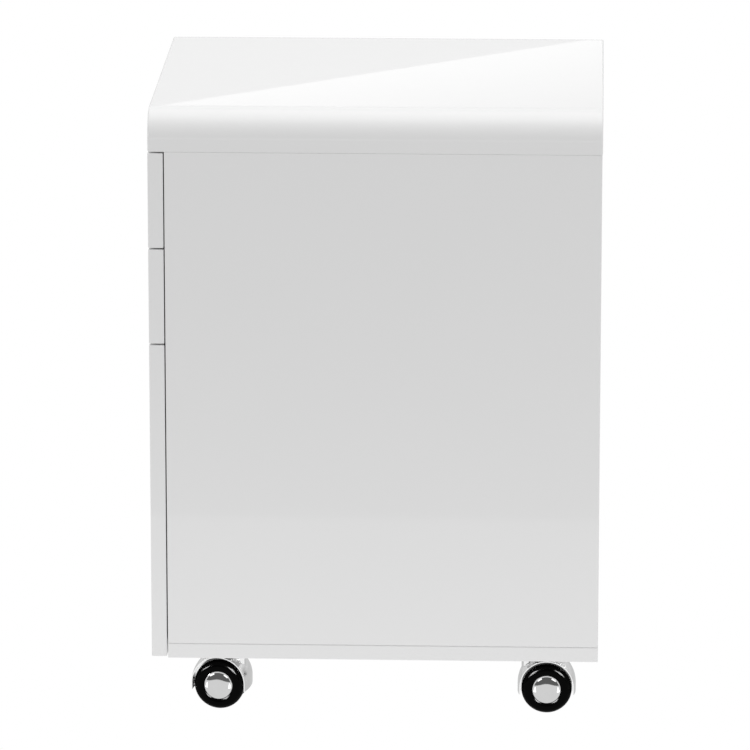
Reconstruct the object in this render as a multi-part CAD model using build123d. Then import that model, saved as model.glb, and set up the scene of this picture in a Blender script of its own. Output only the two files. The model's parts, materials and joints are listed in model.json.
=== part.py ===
from build123d import *
import os

# Rolling pedestal cabinet, in millimetres.
# Origin: on the floor, under the centre of the cabinet. +Z is up, the drawer fronts face -Y and
# the right-hand side panel faces +X. At rest the drawers are closed and the casters trail towards
# the cabinet's ends, the front pair turned a little outward.

# ---------------------------------------------------------------- overall size
WIDTH = 400.0
DEPTH = 440.0
HEIGHT = 610.0
CASTER_HEIGHT = 60.0

# ---------------------------------------------------------------- carcass boards
BOARD = 15.0
BACK_BOARD = 12.0
TOP_THICKNESS = 40.0
TOP_ROUND = 28.0
TOP_END_EASING = 1.8
BOARD_EASING = 1.0
FRONT_GAP = 1.0
REAR_REVEAL = 0.5

CARCASS_TOP = HEIGHT - TOP_THICKNESS
CARCASS_BASE = CASTER_HEIGHT + BOARD
CARCASS_FRONT = -DEPTH / 2 + BOARD + FRONT_GAP
CARCASS_REAR = DEPTH / 2 - REAR_REVEAL
INNER_X = WIDTH / 2 - BOARD
BACK_FACE_Y = CARCASS_REAR - BACK_BOARD

# ---------------------------------------------------------------- drawer fronts
FRONT_STEP = 1.5
FRONT_LOWEST = CASTER_HEIGHT + 1.5
SMALL_FRONT = 94.0
FRONT_EASING = 1.0
FRONT_REAR_Y = -DEPTH / 2 + BOARD

# ---------------------------------------------------------------- drawer boxes
BOX_SIDE = 12.0
BOX_REAR_Y = 165.0
SLIDE_SPACE = 12.7
SMALL_BOX_HEIGHT = 70.0
FILE_BOX_HEIGHT = 262.0
BOX_LIFT = 10.0
FILE_BOX_LIFT = 25.0
BOX_BOTTOM = 6.0
GROOVE_DEPTH = 5.0
GROOVE_LIFT = 8.0

BOX_OUTER_X = INNER_X - SLIDE_SPACE
BOX_INNER_X = BOX_OUTER_X - BOX_SIDE

# ---------------------------------------------------------------- telescopic slides
SLIDE_LENGTH = 350.0
SLIDE_FRONT_Y = CARCASS_FRONT + 3.0
SLIDE_SHEET = 1.2
SLIDE_CORNER_R = 0.5
OUTER_MEMBER_HEIGHT = 45.0
MIDDLE_MEMBER_HEIGHT = 35.2
INNER_MEMBER_HEIGHT = 25.4
OUTER_FLANGE = 9.5
MIDDLE_FLANGE = 6.9
MIDDLE_WEB_INSET = 3.8
INNER_FLANGE = 6.5
SLIDE_HEIGHT_ABOVE_BOX = 35.0
FILE_SLIDE_HEIGHT_ABOVE_BOX = 110.0
SLIDE_SCREW_OFFSETS = (35.0, 175.0, 315.0)

# ---------------------------------------------------------------- screws, cams and dowels
SCREW_SHANK_R = 1.8
SCREW_HEAD_R = 3.6
SCREW_HEAD_HEIGHT = 1.9
SCREW_HEAD_ROUND = 0.9
SCREW_CROSS = (4.0, 0.8, 0.8)
SCREW_LENGTH = 11.0
SCREW_POINT = 2.0
SCREW_POINT_R = 0.4
SCREW_HOLE_R = 2.1
CAM_R = 7.5
CAM_DEPTH = 12.0
CAM_KEYWAY = (1.5, 9.0, 1.6)
CAM_BOLT_R = 2.5
CAM_BOLT_HEAD_R = 3.2
CAM_BOLT_HEAD_LENGTH = 3.0
CAM_BORE_R = 3.6
EDGE_BORE_R = 4.0
CAM_DISTANCE = 24.0
CAM_BOLT_GRIP = 10.0
DOWEL_R = 4.0
DOWEL_IN_FACE = 10.0
DOWEL_IN_EDGE = 20.0
CAM_END_OFFSET = 60.0
DOWEL_END_OFFSET = 30.0
BACK_DOWEL_SHARES = (0.12, 0.5, 0.88)

# ---------------------------------------------------------------- push latches
LATCH_PLATE = (18.0, 2.5, 44.0)
LATCH_CORNER_R = 4.0
LATCH_BARREL_R = 7.0
LATCH_BARREL_LENGTH = 20.0
LATCH_SCREW_SPACING = 32.0
PLUNGER_R = 4.0
PLUNGER_TIP_R = 5.0
PLUNGER_TIP_LENGTH = 3.0
PLUNGER_TIP_ROUND = 1.0
PLUNGER_CLEARANCE = 0.05
PLUNGER_REACH_GAP = 0.4
PLUNGER_TRAVEL = 3.0
PLUNGER_SPARE = 1.0

# ---------------------------------------------------------------- hanging-file rails
RAIL_WALL = 1.2
RAIL_SKIRT = 8.0
RAIL_FIN = 7.0
RAIL_FIN_WALL = 1.6
RAIL_END_GAP = 2.0

# ---------------------------------------------------------------- casters
WHEEL_R = 25.0
WHEEL_INNER_X = 6.8
WHEEL_OUTER_X = 19.0
TREAD_CORNER_R = 2.0
SHOULDER_R = 6.5
BROW_ROUND = 8.0
BROW_DROP = 1.1
TREAD_LINE_ANGLE = 25.0
TREAD_LINE_R = 0.3
HUB_RECESS_R = 14.5
HUB_RECESS_X = 16.9
HUB_CAP_R = 14.1
HUB_CAP_BACK_X = 17.2
HUB_CAP_RIM_X = 18.5
HUB_CAP_RIM_WIDTH = 1.2
HUB_CAP_RIM_EASING = 0.3
HUB_CAP_RISE = 2.4
AXLE_R = 3.0
AXLE_HALF = 19.2
RUNNING_CLEARANCE = 0.05
HOOD_INNER_R = 26.0
HOOD_RIM_R = 26.9
HOOD_CROWN_R = 28.8
HOOD_HALF_WIDTH = 19.5
HOOD_LIFT = 2.4
HOOD_DROP = 5.0
WEB_HALF = 6.0
TRAIL = 18.0
COLLAR_R = 7.0
COLLAR_TOP_Z = 56.5
STEM_R = 3.5
STEM_FOOT_Z = 32.0
PLATE_SIZE = 48.0
PLATE_THICKNESS = 2.5
PLATE_CORNER_R = 5.0
PLATE_SCREW_SPACING = 38.0
PLATE_RACE_R = 9.0
PLATE_RACE_DROP = 0.6
SWIVEL_X = 161.0
SWIVEL_END_OFFSET = 68.4
FRONT_CASTER_TURN = 8.5


# ================================================================ small helpers
def block(x0, x1, y0, y1, z0, z1):
    """A box between two corners."""
    size = Box(x1 - x0, y1 - y0, z1 - z0)
    return Pos((x0 + x1) / 2, (y0 + y1) / 2, (z0 + z1) / 2) * size


def rod_x(radius, x0, x1, y=0.0, z=0.0):
    """A cylinder along X."""
    return Pos((x0 + x1) / 2, y, z) * Rot(0, 90, 0) * Cylinder(radius, x1 - x0)


def rod_y(radius, y0, y1, x=0.0, z=0.0):
    """A cylinder along Y."""
    return Pos(x, (y0 + y1) / 2, z) * Rot(90, 0, 0) * Cylinder(radius, y1 - y0)


def rod_z(radius, z0, z1, x=0.0, y=0.0):
    """A cylinder along Z."""
    return Pos(x, y, (z0 + z1) / 2) * Cylinder(radius, z1 - z0)


def save(name, shape):
    """Write one node, as one solid or as a group of separate solids."""
    group = shape if isinstance(shape, list) else [shape]
    body = group[0] if len(group) == 1 else Compound(group)
    export_step(body, f"parts/{name}.step")


# ================================================================ drawers: the shared layout
class Drawer:
    """Heights of one drawer, from its front's lower edge."""

    def __init__(self, name, front_base, front_height, box_lift, box_height, slide_lift):
        self.name = name
        self.front_base = front_base
        self.front_top = front_base + front_height
        self.box_base = front_base + box_lift
        self.box_top = self.box_base + box_height
        self.slide_z = self.box_base + slide_lift
        self.latch_z = (self.box_base + self.box_top) / 2


FRONT_TOP = CARCASS_TOP - FRONT_STEP
UPPER_BASE = FRONT_TOP - SMALL_FRONT
MIDDLE_BASE = UPPER_BASE - FRONT_STEP - SMALL_FRONT
FILE_FRONT = MIDDLE_BASE - FRONT_STEP - FRONT_LOWEST

DRAWERS = (
    Drawer("upper_drawer", UPPER_BASE, SMALL_FRONT, BOX_LIFT, SMALL_BOX_HEIGHT, SLIDE_HEIGHT_ABOVE_BOX),
    Drawer("middle_drawer", MIDDLE_BASE, SMALL_FRONT, BOX_LIFT, SMALL_BOX_HEIGHT, SLIDE_HEIGHT_ABOVE_BOX),
    Drawer("file_drawer", FRONT_LOWEST, FILE_FRONT, FILE_BOX_LIFT, FILE_BOX_HEIGHT,
           FILE_SLIDE_HEIGHT_ABOVE_BOX),
)


# ================================================================ places of the fasteners
def caster_places():
    """Name, side of the cabinet, swivel position and swivel angle of each caster."""
    front_y = CARCASS_FRONT + SWIVEL_END_OFFSET
    rear_y = CARCASS_REAR - SWIVEL_END_OFFSET
    for side, way in (("left", -1), ("right", 1)):
        x = SWIVEL_X * way
        yield f"caster_front_{side}", way, x, front_y, 180.0 - FRONT_CASTER_TURN * way
        yield f"caster_rear_{side}", way, x, rear_y, 0.0


def plate_screw_places():
    """Swivel plate screws, seen from above."""
    half = PLATE_SCREW_SPACING / 2
    for _, _, x, y, _ in caster_places():
        for dx in (-half, half):
            for dy in (-half, half):
                yield x + dx, y + dy


def slide_screw_places(drawer):
    """Screws of one drawer's slides, along the slide's centre line."""
    for offset in SLIDE_SCREW_OFFSETS:
        yield SLIDE_FRONT_Y + offset, drawer.slide_z


def latch_screw_heights(drawer):
    """The two screws of one push latch."""
    return drawer.latch_z - LATCH_SCREW_SPACING / 2, drawer.latch_z + LATCH_SCREW_SPACING / 2


def end_positions(offset):
    """Two positions along the carcass depth, the same distance from each end."""
    return CARCASS_FRONT + offset, CARCASS_REAR - offset


def panel_joints():
    """Height and upward or downward direction from each board joint into the side panel."""
    return (CARCASS_TOP, -1), (CARCASS_BASE, 1)


def back_dowel_heights():
    """Dowels between the back panel and the side panels."""
    span = CARCASS_TOP - CARCASS_BASE
    return [CARCASS_BASE + span * share for share in BACK_DOWEL_SHARES]


# ================================================================ fasteners
def screw_pilot():
    """A screw's shank and point, below the origin, and so also the hole that they fill."""
    straight = SCREW_LENGTH - SCREW_POINT
    point = Pos(0, 0, -straight - SCREW_POINT / 2) * Cone(SCREW_POINT_R, SCREW_SHANK_R, SCREW_POINT)
    return rod_z(SCREW_SHANK_R, -straight, 0) + point


def screw():
    """A pan-head screw: its head sits above the origin and its shank points down."""
    head = rod_z(SCREW_HEAD_R, 0, SCREW_HEAD_HEIGHT)
    head = fillet(head.edges().group_by(Axis.Z)[-1], SCREW_HEAD_ROUND)
    length, width, depth = SCREW_CROSS
    cross = Box(length, width, 2 * depth) + Box(width, length, 2 * depth)
    return head + screw_pilot() - Pos(0, 0, SCREW_HEAD_HEIGHT) * cross


def facing_inward(side, x, y, z):
    """Place for a screw that is driven outward through a vertical face on one side."""
    return Pos(x * side, y, z) * Rot(0, -90 * side, 0)


def facing_down(x, y, z):
    """Place for a screw that is driven upward from below."""
    return Pos(x, y, z) * Rot(180, 0, 0)


def facing_front(x, y, z):
    """Place for a screw that is driven rearward."""
    return Pos(x, y, z) * Rot(90, 0, 0)


def cabinet_screw_places():
    """Every screw that is driven into the carcass."""
    places = []
    for drawer in DRAWERS:
        for side in (-1, 1):
            for y, z in slide_screw_places(drawer):
                places.append(facing_inward(side, INNER_X - SLIDE_SHEET, y, z))
        for z in latch_screw_heights(drawer):
            places.append(facing_front(0, BACK_FACE_Y - LATCH_PLATE[1], z))
    for x, y in plate_screw_places():
        places.append(facing_down(x, y, CASTER_HEIGHT - PLATE_THICKNESS))
    return places


def drawer_screw_places(drawer):
    """Screws from the inner slide members into the box sides."""
    places = []
    for side in (-1, 1):
        for y, z in slide_screw_places(drawer):
            head = Pos((BOX_OUTER_X + SLIDE_SHEET) * side, y, z) * Rot(0, 90 * side, 0)
            places.append(head)
    return places


def cam_lock(direction):
    """A cam disc lying in a side panel, with a slot towards its bolt."""
    disc = rod_x(CAM_R, 0, CAM_DEPTH)
    reach = rod_z(CAM_BORE_R, 0, CAM_R + 1, x=BOARD / 2)
    slot = reach if direction > 0 else Rot(180, 0, 0) * reach
    depth, length, width = CAM_KEYWAY
    keyway = block(-1, depth, -length / 2, length / 2, -width / 2, width / 2)
    return disc - slot - keyway


def cam_bolt():
    """A cam bolt along Z: its thread is above the joint at z = 0 and its head is below."""
    neck = CAM_DISTANCE - CAM_BOLT_HEAD_LENGTH
    shank = rod_z(CAM_BOLT_R, -neck, CAM_BOLT_GRIP)
    return shank + rod_z(CAM_BOLT_HEAD_R, -CAM_DISTANCE, -neck)


def cam_locks():
    locks = []
    for side in (-1, 1):
        turn = Rot(0, 0, 0) if side > 0 else Rot(0, 0, 180)
        for z, into_side in panel_joints():
            for y in end_positions(CAM_END_OFFSET):
                place = Pos(INNER_X * side, y, z + into_side * CAM_DISTANCE)
                locks.append(place * turn * cam_lock(-into_side))
    return locks


def cam_bolts():
    bolts = []
    for side in (-1, 1):
        for z, into_side in panel_joints():
            turn = Rot(0, 0, 0) if into_side < 0 else Rot(180, 0, 0)
            for y in end_positions(CAM_END_OFFSET):
                bolts.append(Pos((INNER_X + BOARD / 2) * side, y, z) * turn * cam_bolt())
    return bolts


def panel_dowels():
    dowels = []
    for side in (-1, 1):
        x = (INNER_X + BOARD / 2) * side
        for z, into_side in panel_joints():
            ends = sorted((z - into_side * DOWEL_IN_FACE, z + into_side * DOWEL_IN_EDGE))
            for y in end_positions(DOWEL_END_OFFSET):
                dowels.append(rod_z(DOWEL_R, *ends, x=x, y=y))
        for z in back_dowel_heights():
            ends = sorted(((INNER_X - DOWEL_IN_EDGE) * side, (INNER_X + DOWEL_IN_FACE) * side))
            dowels.append(rod_x(DOWEL_R, *ends, y=CARCASS_REAR - BACK_BOARD / 2, z=z))
    return dowels


# ================================================================ carcass boards
def top_panel():
    """Thick top, rolled over along both long edges."""
    slab = block(-WIDTH / 2, WIDTH / 2, -DEPTH / 2, DEPTH / 2, CARCASS_TOP, HEIGHT)
    long_edges = slab.edges().filter_by(Axis.Y).group_by(Axis.Z)[-1]
    slab = fillet(long_edges, TOP_ROUND)
    ends = slab.faces().filter_by(Axis.Y)
    slab = fillet(ends.edges(), TOP_END_EASING)
    for side in (-1, 1):
        x = (INNER_X + BOARD / 2) * side
        for y in end_positions(CAM_END_OFFSET):
            slab -= rod_z(CAM_BOLT_R, CARCASS_TOP - 1, CARCASS_TOP + CAM_BOLT_GRIP, x=x, y=y)
        for y in end_positions(DOWEL_END_OFFSET):
            slab -= rod_z(DOWEL_R, CARCASS_TOP - 1, CARCASS_TOP + DOWEL_IN_FACE, x=x, y=y)
    return slab


def side_panel(side):
    """One side board, with the cam, dowel and slide screw holes in it."""
    near, far = sorted((INNER_X * side, WIDTH / 2 * side))
    board = block(near, far, CARCASS_FRONT, CARCASS_REAR, CARCASS_BASE, CARCASS_TOP)
    outer_face = board.faces().sort_by(Axis.X)[-1 if side > 0 else 0]
    board = fillet(outer_face.edges(), BOARD_EASING)
    mid_x = (INNER_X + BOARD / 2) * side
    pocket = sorted((INNER_X * side, (INNER_X + CAM_DEPTH) * side))
    for z, into_side in panel_joints():
        cam_z = z + into_side * CAM_DISTANCE
        for y in end_positions(CAM_END_OFFSET):
            board -= rod_x(CAM_R, *pocket, y=y, z=cam_z)
            board -= rod_z(EDGE_BORE_R, *sorted((z, cam_z)), x=mid_x, y=y)
        for y in end_positions(DOWEL_END_OFFSET):
            board -= rod_z(DOWEL_R, *sorted((z, z + into_side * DOWEL_IN_EDGE)), x=mid_x, y=y)
    for z in back_dowel_heights():
        hole = sorted((INNER_X * side, (INNER_X + DOWEL_IN_FACE) * side))
        board -= rod_x(DOWEL_R, *hole, y=CARCASS_REAR - BACK_BOARD / 2, z=z)
    for drawer in DRAWERS:
        for y, z in slide_screw_places(drawer):
            board -= facing_inward(side, INNER_X - SLIDE_SHEET, y, z) * screw_pilot()
    return board


def back_panel():
    """Back board, let in between the sides."""
    board = block(-INNER_X, INNER_X, BACK_FACE_Y, CARCASS_REAR, CARCASS_BASE, CARCASS_TOP)
    for side in (-1, 1):
        for z in back_dowel_heights():
            hole = sorted(((INNER_X - DOWEL_IN_EDGE) * side, INNER_X * side))
            board -= rod_x(DOWEL_R, *hole, y=CARCASS_REAR - BACK_BOARD / 2, z=z)
    for drawer in DRAWERS:
        for z in latch_screw_heights(drawer):
            board -= facing_front(0, BACK_FACE_Y - LATCH_PLATE[1], z) * screw_pilot()
    return board


def bottom_panel():
    """Floor board under the sides, which the casters are screwed to."""
    board = block(-WIDTH / 2, WIDTH / 2, CARCASS_FRONT, CARCASS_REAR, CASTER_HEIGHT, CARCASS_BASE)
    sides = board.faces().filter_by(Axis.X)
    board = fillet(sides.edges(), BOARD_EASING)
    for side in (-1, 1):
        x = (INNER_X + BOARD / 2) * side
        for y in end_positions(CAM_END_OFFSET):
            board -= rod_z(CAM_BOLT_R, CARCASS_BASE - CAM_BOLT_GRIP, CARCASS_BASE, x=x, y=y)
        for y in end_positions(DOWEL_END_OFFSET):
            board -= rod_z(DOWEL_R, CARCASS_BASE - DOWEL_IN_FACE, CARCASS_BASE, x=x, y=y)
    for x, y in plate_screw_places():
        board -= facing_down(x, y, CASTER_HEIGHT - PLATE_THICKNESS) * screw_pilot()
    return board


# ================================================================ telescopic slides
def channel(side, web_x, flange, height, y0, y1, z, towards):
    """A C channel along Y: its web's back is at web_x and its flanges point towards -1 or +1."""
    back = web_x * side
    tip = (web_x + flange * towards) * side
    inner = (web_x + SLIDE_SHEET * towards) * side
    past = (web_x + (flange + 1) * towards) * side
    half = height / 2
    bar = block(*sorted((back, tip)), y0, y1, z - half, z + half)
    bar = fillet(bar.edges().filter_by(Axis.Y), SLIDE_CORNER_R)
    hollow = block(*sorted((inner, past)), y0 - 1, y1 + 1, z - half + SLIDE_SHEET, z + half - SLIDE_SHEET)
    return bar - hollow


def slide_outer_members():
    """The members screwed to the side panels, open towards the drawers."""
    members = []
    for drawer in DRAWERS:
        for side in (-1, 1):
            bar = channel(side, INNER_X, OUTER_FLANGE, OUTER_MEMBER_HEIGHT,
                          SLIDE_FRONT_Y, SLIDE_FRONT_Y + SLIDE_LENGTH, drawer.slide_z, -1)
            for y, z in slide_screw_places(drawer):
                bar -= rod_x(SCREW_SHANK_R, *sorted((INNER_X * side, (INNER_X - 3) * side)), y=y, z=z)
            members.append(bar)
    return members


def slide_middle_members(drawer):
    """The members that travel half of the drawer's way."""
    web_x = INNER_X - MIDDLE_WEB_INSET
    return [channel(side, web_x, MIDDLE_FLANGE, MIDDLE_MEMBER_HEIGHT,
                    SLIDE_FRONT_Y, SLIDE_FRONT_Y + SLIDE_LENGTH, drawer.slide_z, -1)
            for side in (-1, 1)]


def slide_inner_members(drawer):
    """The members screwed to the drawer, open towards the side panels."""
    members = []
    for side in (-1, 1):
        bar = channel(side, BOX_OUTER_X, INNER_FLANGE, INNER_MEMBER_HEIGHT,
                      SLIDE_FRONT_Y, SLIDE_FRONT_Y + SLIDE_LENGTH, drawer.slide_z, 1)
        for y, z in slide_screw_places(drawer):
            bar -= rod_x(SCREW_SHANK_R, *sorted((BOX_OUTER_X * side, (BOX_OUTER_X + 3) * side)), y=y, z=z)
        members.append(bar)
    return members


# ================================================================ drawers
def box_bottom_board(drawer):
    """The thin board in the grooves of the front, the sides and the back."""
    z = drawer.box_base + GROOVE_LIFT
    reach = BOX_INNER_X + GROOVE_DEPTH
    front_y = FRONT_REAR_Y - GROOVE_DEPTH
    rear_y = BOX_REAR_Y - BOX_SIDE + GROOVE_DEPTH
    return block(-reach, reach, front_y, rear_y, z, z + BOX_BOTTOM)


def box_side_board(drawer, side):
    """One side of the box: it enters a groove in the front, and the back enters it."""
    near, far = sorted((BOX_INNER_X * side, BOX_OUTER_X * side))
    board = block(near, far, FRONT_REAR_Y - GROOVE_DEPTH, BOX_REAR_Y, drawer.box_base, drawer.box_top)
    board -= box_bottom_board(drawer)
    board -= box_back_board(drawer)
    for place in drawer_screw_places(drawer):
        board -= place * screw_pilot()
    return board


def box_back_board(drawer):
    """The back of the box, housed in its sides."""
    reach = BOX_INNER_X + GROOVE_DEPTH
    board = block(-reach, reach, BOX_REAR_Y - BOX_SIDE, BOX_REAR_Y, drawer.box_base, drawer.box_top)
    return board - box_bottom_board(drawer)


def drawer_front(drawer):
    """The front board, with grooves behind for the box."""
    board = block(-WIDTH / 2, WIDTH / 2, -DEPTH / 2, FRONT_REAR_Y, drawer.front_base, drawer.front_top)
    board = fillet(board.edges(), FRONT_EASING)
    board -= box_bottom_board(drawer)
    for side in (-1, 1):
        board -= box_side_board(drawer, side)
    return board


def hanging_rails(drawer):
    """Two rails that clip over the box sides and carry hanging files."""
    rails = []
    mid_x = (BOX_INNER_X + BOX_OUTER_X) / 2
    half = BOX_SIDE / 2
    y0 = FRONT_REAR_Y + RAIL_END_GAP
    y1 = BOX_REAR_Y - BOX_SIDE - RAIL_END_GAP
    for side in (-1, 1):
        cap = block(-half - RAIL_WALL, half + RAIL_WALL, y0, y1, -RAIL_SKIRT, RAIL_WALL)
        cap -= block(-half, half, y0 - 1, y1 + 1, -RAIL_SKIRT - 1, 0)
        fin_x = (half + RAIL_WALL) * -side
        fin = block(*sorted((fin_x, fin_x + RAIL_FIN_WALL * side)), y0, y1, 0, RAIL_WALL + RAIL_FIN)
        rails.append(Pos(mid_x * side, 0, drawer.box_top) * (cap + fin))
    return rails


def save_drawer(drawer):
    save(f"{drawer.name}_front", drawer_front(drawer))
    save(f"{drawer.name}_side_left", box_side_board(drawer, -1))
    save(f"{drawer.name}_side_right", box_side_board(drawer, 1))
    save(f"{drawer.name}_back", box_back_board(drawer))
    save(f"{drawer.name}_bottom", box_bottom_board(drawer))
    save(f"{drawer.name}_slide_inner_members", slide_inner_members(drawer))
    save(f"{drawer.name}_slide_middle_members", slide_middle_members(drawer))
    save(f"{drawer.name}_screws", [place * screw() for place in drawer_screw_places(drawer)])
    save(f"{drawer.name}_latch_plunger", latch_plunger(drawer))


# ================================================================ push latches
def latch_housing(drawer):
    """A screw plate with a barrel that guides the plunger."""
    wide, thick, tall = LATCH_PLATE
    plate_y = BACK_FACE_Y - thick
    barrel_y = plate_y - LATCH_BARREL_LENGTH
    z = drawer.latch_z
    plate = block(-wide / 2, wide / 2, plate_y, BACK_FACE_Y, z - tall / 2, z + tall / 2)
    plate = fillet(plate.edges().filter_by(Axis.Y), LATCH_CORNER_R)
    body = plate + rod_y(LATCH_BARREL_R, barrel_y, plate_y, z=z)
    body -= rod_y(PLUNGER_R + PLUNGER_CLEARANCE, barrel_y - 1, plate_y, z=z)
    for screw_z in latch_screw_heights(drawer):
        body -= rod_y(SCREW_HOLE_R, plate_y - 1, BACK_FACE_Y, z=screw_z)
    return body


def latch_plunger(drawer):
    """The sprung plunger, whose tip stands just behind the closed drawer."""
    tip_y = BOX_REAR_Y + PLUNGER_REACH_GAP
    tip_end = tip_y + PLUNGER_TIP_LENGTH
    bore_floor = BACK_FACE_Y - LATCH_PLATE[1]
    tail_y = bore_floor - PLUNGER_TRAVEL - PLUNGER_SPARE
    tip = rod_y(PLUNGER_TIP_R, tip_y, tip_end, z=drawer.latch_z)
    tip = fillet(tip.edges().group_by(Axis.Y)[0], PLUNGER_TIP_ROUND)
    return tip + rod_y(PLUNGER_R, tip_end, tail_y, z=drawer.latch_z)


# ================================================================ casters
# Each part is made with its swivel axis on Z and the wheels trailing towards +Y.
def caster_plate():
    """Screw plate with the swivel stem."""
    under_z = CASTER_HEIGHT - PLATE_THICKNESS
    half = PLATE_SIZE / 2
    plate = block(-half, half, -half, half, under_z, CASTER_HEIGHT)
    plate = fillet(plate.edges().filter_by(Axis.Z), PLATE_CORNER_R)
    race = rod_z(PLATE_RACE_R, under_z - PLATE_RACE_DROP, under_z)
    stem = rod_z(STEM_R, STEM_FOOT_Z, under_z)
    body = plate + race + stem
    spread = PLATE_SCREW_SPACING / 2
    for x in (-spread, spread):
        for y in (-spread, spread):
            body -= rod_z(SCREW_HOLE_R, under_z - 1, CASTER_HEIGHT, x=x, y=y)
    return body


def hood():
    """Crowned hood over both wheels, with the web between them and the swivel collar."""
    rim = (HOOD_HALF_WIDTH, HOOD_RIM_R)
    crown = ThreePointArc((-rim[0], rim[1]), (0, HOOD_CROWN_R), rim)
    section = make_face(crown + Polyline(rim, (rim[0], 0), (-rim[0], 0), (-rim[0], rim[1])))
    arch = revolve(section, axis=Axis.X, revolution_arc=180)
    skirt = extrude(section + mirror(section, about=Plane.XZ), amount=-HOOD_DROP - HOOD_LIFT)
    arch_centre = Pos(0, TRAIL, WHEEL_R + HOOD_LIFT)
    body = arch_centre * (arch + skirt)
    body += rod_z(COLLAR_R, STEM_FOOT_Z, COLLAR_TOP_Z)
    well_end = HOOD_HALF_WIDTH + 1.0
    well_floor = -HOOD_DROP - HOOD_LIFT - 1.0
    well = rod_x(HOOD_INNER_R, WEB_HALF, well_end)
    well += block(WEB_HALF, well_end, -HOOD_INNER_R, HOOD_INNER_R, well_floor, 0)
    for turn in (0, 180):
        body -= arch_centre * Rot(0, 0, turn) * well
    body -= rod_z(STEM_R + RUNNING_CLEARANCE, STEM_FOOT_Z - 1.0, COLLAR_TOP_Z + 1.0)
    return body - rod_x(AXLE_R, -WEB_HALF - 1, WEB_HALF + 1, y=TRAIL, z=WHEEL_R)


def axle():
    """The fixed axle that carries both wheels and both hub caps."""
    return rod_x(AXLE_R, -AXLE_HALF, AXLE_HALF, y=TRAIL, z=WHEEL_R)


def wheel():
    """One wheel of the pair, facing +X, on the X axis: its face swells between tread and hub."""
    bore = AXLE_R + RUNNING_CLEARANCE
    inner_corner = (WHEEL_INNER_X, WHEEL_R - TREAD_CORNER_R)
    tread_start = (WHEEL_INNER_X + TREAD_CORNER_R, WHEEL_R)
    tread_end = (WHEEL_OUTER_X - SHOULDER_R, WHEEL_R)
    brow = (WHEEL_OUTER_X, WHEEL_R - SHOULDER_R)
    lip = (WHEEL_OUTER_X - BROW_DROP, HUB_RECESS_R)
    outline = Polyline(lip, (HUB_RECESS_X, HUB_RECESS_R), (HUB_RECESS_X, bore), (WHEEL_INNER_X, bore),
                       inner_corner)
    outline += RadiusArc(inner_corner, tread_start, TREAD_CORNER_R)
    outline += Line(tread_start, tread_end)
    outline += RadiusArc(tread_end, brow, SHOULDER_R)
    outline += RadiusArc(brow, lip, BROW_ROUND)
    turned = revolve(make_face(outline), axis=Axis.X, revolution_arc=360)
    shoulder = Pos(*tread_end) * Pos(0, -SHOULDER_R) * Rot(0, 0, -TREAD_LINE_ANGLE)
    groove = shoulder * Pos(0, SHOULDER_R) * Circle(TREAD_LINE_R)
    return turned - revolve(groove, axis=Axis.X, revolution_arc=360)


def hub_cap():
    """A cap with a thin flat rim, pressed on the end of the axle and facing +X.

    Its dome is a cubic curve, flat in the middle and steepest at the rim.
    """
    dome_r = HUB_CAP_R - HUB_CAP_RIM_WIDTH
    peak_x = HUB_CAP_RIM_X + HUB_CAP_RISE
    eased = HUB_CAP_RIM_EASING
    outline = Polyline((peak_x, 0), (HUB_CAP_BACK_X, 0), (HUB_CAP_BACK_X, HUB_CAP_R),
                       (HUB_CAP_RIM_X - eased, HUB_CAP_R), (HUB_CAP_RIM_X, HUB_CAP_R - eased),
                       (HUB_CAP_RIM_X, dome_r))
    outline += Bezier((HUB_CAP_RIM_X, dome_r), (peak_x, dome_r * 2 / 3), (peak_x, dome_r / 3), (peak_x, 0))
    cap = revolve(make_face(outline), axis=Axis.X, revolution_arc=360)
    return cap - rod_x(AXLE_R, HUB_CAP_BACK_X, AXLE_HALF)


def save_caster(name, way, x, y, turn):
    """Write one caster. Its outer wheel faces away from the cabinet's centre line."""
    place = Pos(x, y, 0) * Rot(0, 0, turn)
    on_axle = place * Pos(0, TRAIL, WHEEL_R)
    turned_back = abs(turn) > 90
    outer_turn = 0 if (way > 0) != turned_back else 180
    save(f"{name}_hood", place * hood())
    save(f"{name}_axle", place * axle())
    save(f"{name}_wheel_outer", on_axle * Rot(0, 0, outer_turn) * wheel())
    save(f"{name}_wheel_inner", on_axle * Rot(0, 0, outer_turn + 180) * wheel())
    save(f"{name}_hub_caps", [on_axle * Rot(0, 0, half_turn) * hub_cap() for half_turn in (0, 180)])


# ================================================================ write every node
os.makedirs("parts", exist_ok=True)

save("top_panel", top_panel())
save("side_panel_left", side_panel(-1))
save("side_panel_right", side_panel(1))
save("back_panel", back_panel())
save("bottom_panel", bottom_panel())
save("cam_locks", cam_locks())
save("cam_bolts", cam_bolts())
save("panel_dowels", panel_dowels())
save("slide_outer_members", slide_outer_members())
save("fixing_screws", [place * screw() for place in cabinet_screw_places()])
save("push_latch_housings", [latch_housing(drawer) for drawer in DRAWERS])
save("caster_plates", [Pos(x, y, 0) * caster_plate() for _, _, x, y, _ in caster_places()])

for drawer in DRAWERS:
    save_drawer(drawer)
save("file_drawer_hanging_rails", hanging_rails(DRAWERS[-1]))

for name, way, x, y, turn in caster_places():
    save_caster(name, way, x, y, turn)
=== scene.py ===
import json
import math

import bpy
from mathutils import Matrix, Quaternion, Vector


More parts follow.
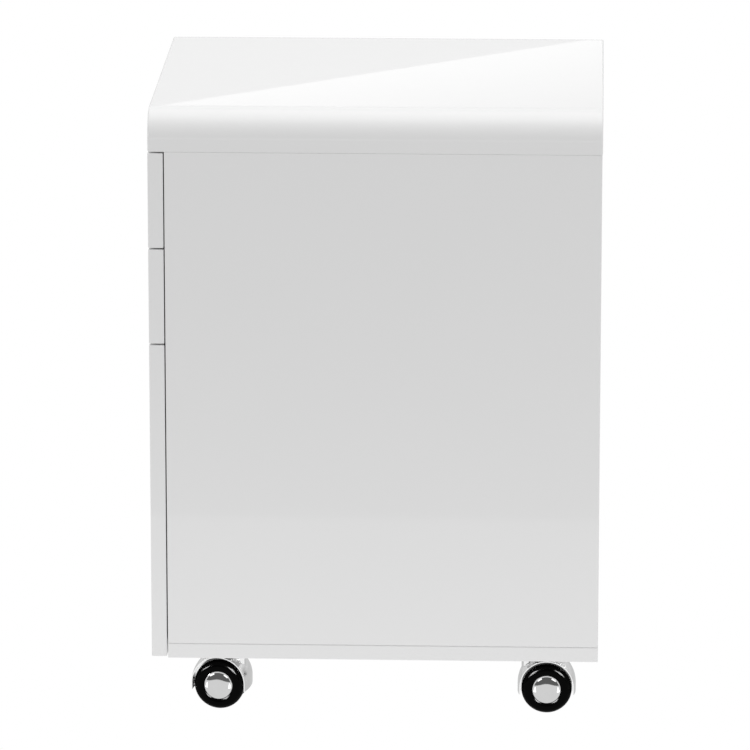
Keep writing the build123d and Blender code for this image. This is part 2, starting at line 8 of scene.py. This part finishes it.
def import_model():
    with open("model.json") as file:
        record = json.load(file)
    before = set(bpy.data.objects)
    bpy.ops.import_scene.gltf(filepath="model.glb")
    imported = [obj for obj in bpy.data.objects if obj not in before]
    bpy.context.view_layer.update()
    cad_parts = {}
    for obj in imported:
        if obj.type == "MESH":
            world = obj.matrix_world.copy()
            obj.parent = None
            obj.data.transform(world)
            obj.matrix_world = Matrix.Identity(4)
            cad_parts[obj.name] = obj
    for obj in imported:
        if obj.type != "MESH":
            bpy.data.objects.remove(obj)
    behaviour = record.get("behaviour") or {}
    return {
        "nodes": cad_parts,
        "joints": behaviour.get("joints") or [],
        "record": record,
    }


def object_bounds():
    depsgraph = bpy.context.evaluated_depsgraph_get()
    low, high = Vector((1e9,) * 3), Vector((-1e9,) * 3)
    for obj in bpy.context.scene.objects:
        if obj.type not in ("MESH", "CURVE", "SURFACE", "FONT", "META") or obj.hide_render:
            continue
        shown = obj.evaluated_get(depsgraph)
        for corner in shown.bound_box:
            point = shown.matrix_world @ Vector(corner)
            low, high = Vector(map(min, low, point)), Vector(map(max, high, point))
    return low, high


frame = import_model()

# Rolling pedestal cabinet: materials for its CAD nodes, and a white studio. Metres and degrees.
# The camera looks from +X at the right-hand side panel, and the drawer fronts face -Y.

NODES = frame["nodes"]
CAD_LOW, CAD_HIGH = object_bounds()

# ---------------------------------------------------------------- camera
CAMERA_DISTANCE = 5.903
CAMERA_Y = 0.210
CAMERA_HEIGHT = 1.797
CAMERA_YAW = -2.107
CAMERA_PITCH = 14.231
CAMERA_LENS = 290.4
CAMERA_SENSOR = 36.0
CAMERA_CLIP_END = 100.0

# ---------------------------------------------------------------- materials
LACQUER_LEVEL = 0.84
LACQUER_TONE_CHANGE = 0.005
BOARD_TONE_CHANGE = 0.008
SHEET_LINES = (2600.0, 30.0, 2600.0)
DOWEL_GRAIN = (900.0, 900.0, 90.0)
BEECH_DARK = (0.36, 0.22, 0.11)
BEECH_LIGHT = (0.60, 0.42, 0.25)
# Most values of a noise lie between these two.
NOISE_LOW = 0.3
NOISE_HIGH = 0.7

# ---------------------------------------------------------------- room, floor and backdrop
# The far floor starts beyond the side panel, towards the camera. The sweep stands beyond the left side.
ROOM_LIGHT = 0.745
ROOM_REFLECTION = 0.16
FLOOR_GLOW = 1.0
FLOOR_SIZE = 60.0
FAR_FLOOR_START = 0.93
FAR_FLOOR_SIZE = 8.0
FAR_FLOOR_LIFT = 0.002
FAR_FLOOR_GLOW = 0.50
SHADED_FLOOR_START = -2.0
SHADED_FLOOR_END = 0.17
SHADED_FLOOR_LIFT = 0.0005
SHADED_FLOOR_GLOW = 0.60
SWEEP_X = -3.0
SWEEP_WIDTH = 6.0
SWEEP_TOP_Z = 3.2
SWEEP_EDGE_Z = 1.195
SWEEP_EDGE_SLOPE = -0.164
SWEEP_LIGHT_HEIGHT = 0.20
SWEEP_LIGHT_START_GLOW = 0.99
SWEEP_LIGHT_END_GLOW = 0.58
SWEEP_SHADE_GLOW = 0.69
SWEEP_UPPER_GLOW = 0.56
SIDE_CARD_Y = 3.2
SIDE_CARD_END_X = 1.0
SIDE_CARD_TOP_Z = 1.6
SIDE_CARD_GLOW = 0.72

# ---------------------------------------------------------------- lights
# An area light glows as strongly as a surface whose emission is a quarter of its power per area.
POWER_PER_GLOW = 4.0
OVERHEAD_PLACE = (-0.2, 0.0, 2.5)
OVERHEAD_TARGET = (-0.1, 0.0, 0.4)
OVERHEAD_SIZE = 2.0
OVERHEAD_GLOW = 1.68
BOX_GLOW = 175.0
BOX_BEARING = 37.0
BOX_REACH = 2.3
BOX_RISE = 1.12
BOX_SIZE = 1.0
HUB_BOX_GLOW = 1.5
HUB_BOX_BEARING = 45.5
HUB_BOX_REACH = 2.2
HUB_BOX_RISE = 1.68
HUB_BOX_ROLL = 46.0
HUB_BOX_WIDTH = 2.1
HUB_BOX_HEIGHT = 1.0
STRIP_GLOW = 1.45
STRIP_BEARING = 44.0
STRIP_REACH = 0.14
STRIP_LIFT = 0.004
STRIP_LENGTH = 0.16
STRIP_WIDTH = 0.016


# ================================================================ node helpers
class Graph:
    """A material's node tree, with short ways to add and join nodes."""

    def __init__(self, name):
        self.material = bpy.data.materials.new(name)
        self.material.use_nodes = True
        self.tree = self.material.node_tree
        self.shader = self.tree.nodes["Principled BSDF"]
        self.place = self.tree.nodes.new("ShaderNodeTexCoord").outputs["Object"]

    def link(self, source, target):
        self.tree.links.new(source, target)

    def constant(self, **values):
        """Sets sockets of the shader that are the same all over the surface."""
        for key, value in values.items():
            self.shader.inputs[key.replace("_", " ")].default_value = value

    def drive(self, socket, source):
        """Lets a node's output set one socket of the shader."""
        self.link(source, self.shader.inputs[socket])

    def stretched(self, scale):
        """Object coordinates scaled by three factors."""
        node = self.tree.nodes.new("ShaderNodeMapping")
        node.inputs["Scale"].default_value = scale
        self.link(self.place, node.inputs["Vector"])
        return node.outputs["Vector"]

    def noise(self, scale, detail=3.0, vector=None):
        """A noise with that many features to the metre."""
        node = self.tree.nodes.new("ShaderNodeTexNoise")
        node.inputs["Scale"].default_value = scale
        node.inputs["Detail"].default_value = detail
        self.link(vector or self.place, node.inputs["Vector"])
        return node.outputs["Fac"]

    def spread(self, noise, low, high):
        """The usual range of a noise, spread over another range."""
        node = self.tree.nodes.new("ShaderNodeMapRange")
        node.inputs["From Min"].default_value = NOISE_LOW
        node.inputs["From Max"].default_value = NOISE_HIGH
        node.inputs["To Min"].default_value = low
        node.inputs["To Max"].default_value = high
        self.link(noise, node.inputs["Value"])
        return node.outputs["Result"]

    def tint(self, share, dark, light):
        """A colour between two others."""
        node = self.tree.nodes.new("ShaderNodeMix")
        node.data_type = "RGBA"
        node.inputs["A"].default_value = (*dark, 1.0)
        node.inputs["B"].default_value = (*light, 1.0)
        self.link(share, node.inputs["Factor"])
        return node.outputs["Result"]

    def bump(self, height, distance, strength=1.0, normal=None):
        """A surface raised by a height of 0 to 1 times a distance."""
        node = self.tree.nodes.new("ShaderNodeBump")
        node.inputs["Strength"].default_value = strength
        node.inputs["Distance"].default_value = distance
        self.link(height, node.inputs["Height"])
        if normal:
            self.link(normal, node.inputs["Normal"])
        return node.outputs["Normal"]


def grey(level):
    return (level, level, level)


# ================================================================ materials
def gloss_lacquer(name, level):
    """High-gloss white lacquer, with the faint orange peel of a sprayed coat."""
    g = Graph(name)
    g.constant(Coat_Weight=1.0, Coat_Roughness=0.01, Coat_IOR=1.5, IOR=1.45)
    cloud = g.noise(scale=9.0, detail=2.0)
    patch = g.noise(scale=60.0)
    peel = g.noise(scale=260.0, detail=1.0)
    coat_peel = g.noise(scale=90.0, detail=1.0)
    g.drive("Base Color", g.tint(cloud, grey(level - LACQUER_TONE_CHANGE), grey(level + LACQUER_TONE_CHANGE)))
    g.drive("Roughness", g.spread(patch, low=0.34, high=0.42))
    g.drive("Normal", g.bump(peel, distance=0.00001, strength=0.35))
    g.drive("Coat Normal", g.bump(coat_peel, distance=0.000004, strength=0.25))
    return g.material


def satin_board(name, level, roughness):
    """Melamine: a fine even pearl texture, and small changes of sheen."""
    g = Graph(name)
    g.constant(IOR=1.45, Coat_Weight=0.12, Coat_Roughness=0.25)
    cloud = g.noise(scale=7.0)
    patch = g.noise(scale=35.0)
    pearl = g.noise(scale=1400.0, detail=2.0)
    wave = g.noise(scale=240.0, detail=1.0)
    g.drive("Base Color", g.tint(cloud, grey(level - BOARD_TONE_CHANGE), grey(level + BOARD_TONE_CHANGE)))
    g.drive("Roughness", g.spread(patch, *roughness))
    fine = g.bump(pearl, distance=0.00003, strength=0.5)
    g.drive("Normal", g.bump(wave, distance=0.00002, strength=0.3, normal=fine))
    return g.material


def plated_metal(name, level, roughness, ripple):
    """Plated or polished metal: slight changes of polish, and a ripple under the plating."""
    g = Graph(name)
    g.constant(Metallic=1.0)
    patch = g.noise(scale=140.0, detail=4.0)
    polish = g.noise(scale=420.0, detail=5.0)
    waves = g.noise(scale=180.0, detail=1.0)
    g.drive("Base Color", g.tint(patch, grey(level * 0.95), grey(level * 1.03)))
    g.drive("Roughness", g.spread(polish, *roughness))
    g.drive("Normal", g.bump(waves, distance=ripple))
    return g.material


def rolled_metal(name, level):
    """Zinc-plated sheet or drawn profile, with fine lines along its length."""
    g = Graph(name)
    g.constant(Metallic=1.0, Anisotropic=0.4)
    lines = g.noise(scale=1.0, detail=4.0, vector=g.stretched(SHEET_LINES))
    spangle = g.noise(scale=160.0, detail=2.0)
    g.drive("Base Color", g.tint(spangle, grey(level * 0.9), grey(level * 1.06)))
    g.drive("Roughness", g.spread(lines, low=0.26, high=0.42))
    g.drive("Normal", g.bump(lines, distance=0.00002, strength=0.5))
    return g.material


def moulded_plastic(name, level, roughness, gloss, grain):
    """Injection-moulded plastic, with a very fine mould grain."""
    g = Graph(name)
    g.constant(IOR=1.5, Specular_IOR_Level=gloss)
    cloud = g.noise(scale=50.0)
    patch = g.noise(scale=300.0, detail=4.0)
    mould = g.noise(scale=1500.0, detail=2.0)
    g.drive("Base Color", g.tint(cloud, grey(level * 0.92), grey(level * 1.08)))
    g.drive("Roughness", g.spread(patch, *roughness))
    g.drive("Normal", g.bump(mould, distance=grain, strength=0.4))
    return g.material


def beech():
    """Raw beech, with its grain along the dowel."""
    g = Graph("beech")
    g.constant(IOR=1.45)
    grain = g.noise(scale=1.0, detail=5.0, vector=g.stretched(DOWEL_GRAIN))
    g.drive("Base Color", g.tint(grain, BEECH_DARK, BEECH_LIGHT))
    g.drive("Roughness", g.spread(grain, low=0.55, high=0.75))
    g.drive("Normal", g.bump(grain, distance=0.00005))
    return g.material


def dress(slot, material):
    """Gives the material to every CAD node of one slot of the record."""
    for subpart in frame["record"]["subparts"]:
        if subpart["material_slot"] == slot:
            mesh = NODES[subpart["node"]].data
            mesh.materials.clear()
            mesh.materials.append(material)


dress("white_gloss_top", gloss_lacquer("top_lacquer", LACQUER_LEVEL))
dress("white_board", gloss_lacquer("board_lacquer", LACQUER_LEVEL))
dress("white_front", gloss_lacquer("front_lacquer", LACQUER_LEVEL))
dress("drawer_board", satin_board("drawer_melamine", 0.70, roughness=(0.50, 0.60)))
dress("slide_steel", rolled_metal("zinc_sheet", 0.58))
dress("rail_aluminium", rolled_metal("anodised_rail", 0.66))
dress("screw_steel", plated_metal("zinc_screw", 0.50, roughness=(0.22, 0.36), ripple=0.00001))
dress("zinc_fittings", plated_metal("cast_zinc", 0.45, roughness=(0.38, 0.55), ripple=0.00004))
dress("plate_steel", plated_metal("bright_plate", 0.62, roughness=(0.12, 0.24), ripple=0.00001))
dress("hood_chrome", plated_metal("hood_chrome", 0.86, roughness=(0.10, 0.18), ripple=0.00001))
# The hub caps' chrome is darker than the hood's chrome: painted shade, standing in for the shaded floor under
# the cabinet that the hub caps mirror.
dress("hub_chrome", plated_metal("hub_chrome", 0.62, roughness=(0.03, 0.05), ripple=0.000002))
dress("axle_steel", plated_metal("bright_axle", 0.55, roughness=(0.16, 0.26), ripple=0.00001))
dress("latch_plastic", moulded_plastic("latch_plastic", 0.16, roughness=(0.40, 0.55), gloss=0.5,
                                       grain=0.00002))
dress("wheel_black", moulded_plastic("black_nylon", 0.001, roughness=(0.10, 0.15), gloss=0.03,
                                     grain=0.000003))
dress("dowel_wood", beech())


# ================================================================ studio
def world():
    """White all round: full white where the camera sees it, softer in light and reflections."""
    sky = bpy.data.worlds.new("studio")
    bpy.context.scene.world = sky
    sky.use_nodes = True
    tree = sky.node_tree
    background = tree.nodes["Background"]
    background.inputs["Color"].default_value = (1.0, 1.0, 1.0, 1.0)
    path = tree.nodes.new("ShaderNodeLightPath")
    for_light = tree.nodes.new("ShaderNodeMix")
    for_light.inputs["A"].default_value = ROOM_LIGHT
    for_light.inputs["B"].default_value = ROOM_REFLECTION
    tree.links.new(path.outputs["Is Glossy Ray"], for_light.inputs["Factor"])
    for_camera = tree.nodes.new("ShaderNodeMix")
    for_camera.inputs["B"].default_value = 1.0
    tree.links.new(path.outputs["Is Camera Ray"], for_camera.inputs["Factor"])
    tree.links.new(for_light.outputs["Result"], for_camera.inputs["A"])
    tree.links.new(for_camera.outputs["Result"], background.inputs["Strength"])


def glow_material(name, strength):
    """A surface that only glows."""
    material = bpy.data.materials.new(name)
    material.use_nodes = True
    shader = material.node_tree.nodes["Principled BSDF"]
    shader.inputs["Base Color"].default_value = (0.0, 0.0, 0.0, 1.0)
    shader.inputs["Roughness"].default_value = 1.0
    shader.inputs["Specular IOR Level"].default_value = 0.0
    shader.inputs["Emission Color"].default_value = (1.0, 1.0, 1.0, 1.0)
    shader.inputs["Emission Strength"].default_value = strength
    return material


def fading_glow(name, direction, start, end, start_glow, end_glow):
    """A surface that only glows, and evenly less or more along one direction."""
    material = glow_material(name, start_glow)
    tree = material.node_tree
    place = tree.nodes.new("ShaderNodeTexCoord")
    along = tree.nodes.new("ShaderNodeVectorMath")
    along.operation = "DOT_PRODUCT"
    along.inputs[1].default_value = direction
    tree.links.new(place.outputs["Object"], along.inputs[0])
    glow = tree.nodes.new("ShaderNodeMapRange")
    glow.inputs["From Min"].default_value = start
    glow.inputs["From Max"].default_value = end
    glow.inputs["To Min"].default_value = start_glow
    glow.inputs["To Max"].default_value = end_glow
    tree.links.new(along.outputs["Value"], glow.inputs["Value"])
    tree.links.new(glow.outputs["Result"], tree.nodes["Principled BSDF"].inputs["Emission Strength"])
    return material


def card(name, corners, material, in_view=False, in_diffuse=True):
    """A flat glowing studio surface through four corners."""
    mesh = bpy.data.meshes.new(name)
    mesh.from_pydata(corners, [], [(0, 1, 2, 3)])
    mesh.materials.append(material)
    sheet = bpy.data.objects.new(name, mesh)
    bpy.context.scene.collection.objects.link(sheet)
    sheet.visible_camera = in_view
    sheet.visible_diffuse = in_diffuse
    sheet.visible_shadow = in_view


def level_card(name, x0, x1, half_y, lift, glow, **visibility):
    """A card that lies level, so much above the CAD's foot."""
    z = CAD_LOW.z + lift
    corners = [(x0, -half_y, z), (x1, -half_y, z), (x1, half_y, z), (x0, half_y, z)]
    card(name, corners, glow_material(name, glow), **visibility)


def floor():
    """A white floor that glows like a lit infinity cove, with two dimmer parts that the camera can't see.

    The side panel mirrors the one on the camera's side, and the casters the one under the cabinet.
    """
    half = FLOOR_SIZE / 2
    level_card("studio_floor", -half, half, half, 0.0, FLOOR_GLOW, in_view=True)
    level_card("far_floor", FAR_FLOOR_START, FAR_FLOOR_START + FAR_FLOOR_SIZE, FAR_FLOOR_SIZE,
               FAR_FLOOR_LIFT, FAR_FLOOR_GLOW)
    level_card("shaded_floor", SHADED_FLOOR_START, SHADED_FLOOR_END, FAR_FLOOR_SIZE,
               SHADED_FLOOR_LIFT, SHADED_FLOOR_GLOW, in_diffuse=False)


def sweep():
    """A backdrop beyond the left side: its slanted border between two tones is the diagonal in the top.

    The upper tone is lightest at the border, and fades towards the duller rest of the backdrop.
    """
    half = SWEEP_WIDTH / 2

    def slanted(lift):
        """The two ends of a line parallel to the border, that much above it."""
        middle = SWEEP_EDGE_Z + lift
        return [(SWEEP_X, y, middle + y * SWEEP_EDGE_SLOPE) for y in (-half, half)]

    border = slanted(0.0)
    fade_end = slanted(SWEEP_LIGHT_HEIGHT)
    above = [(SWEEP_X, half, SWEEP_TOP_Z), (SWEEP_X, -half, SWEEP_TOP_Z)]
    below = [(SWEEP_X, half, CAD_LOW.z), (SWEEP_X, -half, CAD_LOW.z)]
    light = fading_glow("sweep_light", (0.0, -SWEEP_EDGE_SLOPE, 1.0), SWEEP_EDGE_Z,
                        SWEEP_EDGE_Z + SWEEP_LIGHT_HEIGHT, SWEEP_LIGHT_START_GLOW, SWEEP_LIGHT_END_GLOW)
    card("sweep_light", border + fade_end[::-1], light, in_diffuse=False)
    card("sweep_upper", fade_end + above, glow_material("sweep_upper", SWEEP_UPPER_GLOW), in_diffuse=False)
    card("sweep_shade", border + below, glow_material("sweep_shade", SWEEP_SHADE_GLOW), in_diffuse=False)


def side_cards():
    """Low light walls beyond the front and the back, which the top mirrors in level views."""
    for name, y in (("front_card", -SIDE_CARD_Y), ("rear_card", SIDE_CARD_Y)):
        low = [(SWEEP_X, y, CAD_LOW.z), (SIDE_CARD_END_X, y, CAD_LOW.z)]
        high = [(SIDE_CARD_END_X, y, SIDE_CARD_TOP_Z), (SWEEP_X, y, SIDE_CARD_TOP_Z)]
        card(name, low + high, glow_material(name, SIDE_CARD_GLOW), in_diffuse=False)


# ================================================================ lights
def area_light(name, location, rotation, width, height, glow,
               in_diffuse=True, in_glossy=True, only_for=None):
    """A rectangular light of a given glow, not itself in view. It may shine on one collection only."""
    data = bpy.data.lights.new(name, "AREA")
    data.shape = "RECTANGLE"
    data.size = width
    data.size_y = height
    data.energy = POWER_PER_GLOW * glow * width * height
    lamp = bpy.data.objects.new(name, data)
    bpy.context.scene.collection.objects.link(lamp)
    lamp.location = location
    lamp.rotation_euler = rotation
    lamp.visible_camera = False
    lamp.visible_diffuse = in_diffuse
    lamp.visible_glossy = in_glossy
    lamp.light_linking.receiver_collection = only_for


def softbox(name, location, target, width, height, glow, roll=0.0, **visibility):
    """An area light aimed at a point, and rolled about its aim."""
    aim = Vector(target) - Vector(location)
    rotation = aim.to_track_quat("-Z", "Y") @ Quaternion((0.0, 0.0, 1.0), roll)
    area_light(name, location, rotation.to_euler(), width, height, glow, **visibility)


def around(centre, bearing, reach, rise):
    """The point at a bearing, a level distance and a height from a centre."""
    return centre + Vector((math.cos(bearing) * reach, math.sin(bearing) * reach, rise))


def node_group(name, start, endings):
    """A collection of the CAD nodes whose names start and end so, for lights to be linked to."""
    group = bpy.data.collections.new(name)
    for node_name, node in NODES.items():
        if node_name.startswith(start) and node_name.endswith(endings):
            group.objects.link(node)
    return group


def caster_lights(name, hub, axis):
    """Lights that only one caster catches, the same to both sides.

    A bright box lights the wheels and the hood. A dim box and a strip near the floor light the hub caps.
    All are swung round by twice the angle that the caster is turned at rest, so that its hub mirrors them.
    """
    hub_caps = node_group(f"{name}_hub_group", f"{name}_", "hub_caps")
    others = node_group(f"{name}_wheel_group", f"{name}_", ("hood", "axle", "inner", "outer"))
    swing = 2.0 * math.atan2(axis[1], axis[0])
    for side, way in (("left", -1), ("right", 1)):
        place = around(hub, swing + math.radians(BOX_BEARING) * way, BOX_REACH, BOX_RISE)
        softbox(f"{name}_{side}_box", place, hub, BOX_SIZE, BOX_SIZE, BOX_GLOW,
                in_diffuse=False, only_for=others)
        place = around(hub, swing + math.radians(HUB_BOX_BEARING) * way, HUB_BOX_REACH, HUB_BOX_RISE)
        softbox(f"{name}_{side}_hub_box", place, hub, HUB_BOX_WIDTH, HUB_BOX_HEIGHT, HUB_BOX_GLOW,
                roll=math.radians(HUB_BOX_ROLL) * way, in_diffuse=False, only_for=hub_caps)
        bearing = swing + math.radians(STRIP_BEARING) * way
        place = around(hub, bearing, STRIP_REACH, STRIP_LIFT - (hub.z - CAD_LOW.z))
        facing_up = (math.pi, 0.0, bearing)
        area_light(f"{name}_{side}_strip", place, facing_up, STRIP_LENGTH, STRIP_WIDTH, STRIP_GLOW,
                   in_diffuse=False, only_for=hub_caps)


def near_casters():
    """Name, hub centre and axle direction of the casters on the camera's side."""
    ending = "_wheel_outer_spin"
    for joint in frame["joints"]:
        if joint["name"].endswith("right" + ending):
            yield joint["name"].removesuffix(ending), Vector(joint["pos_m"]), joint["axis"]


# ================================================================ camera
def camera():
    data = bpy.data.cameras.new("camera")
    data.sensor_width = CAMERA_SENSOR
    data.lens = CAMERA_LENS
    data.clip_end = CAMERA_CLIP_END
    eye = bpy.data.objects.new("camera", data)
    bpy.context.scene.collection.objects.link(eye)
    eye.location = (CAMERA_DISTANCE, CAMERA_Y, CAMERA_HEIGHT)
    yaw = math.radians(CAMERA_YAW)
    pitch = math.radians(CAMERA_PITCH)
    ahead = Vector((-math.cos(yaw) * math.cos(pitch), math.sin(yaw) * math.cos(pitch), -math.sin(pitch)))
    eye.rotation_euler = ahead.to_track_quat("-Z", "Y").to_euler()
    bpy.context.scene.camera = eye


world()
floor()
sweep()
side_cards()
for caster in near_casters():
    caster_lights(*caster)
softbox("overhead_box", OVERHEAD_PLACE, OVERHEAD_TARGET, OVERHEAD_SIZE, OVERHEAD_SIZE, OVERHEAD_GLOW,
        in_glossy=False)
camera()
bpy.context.scene.view_settings.view_transform = "Standard"
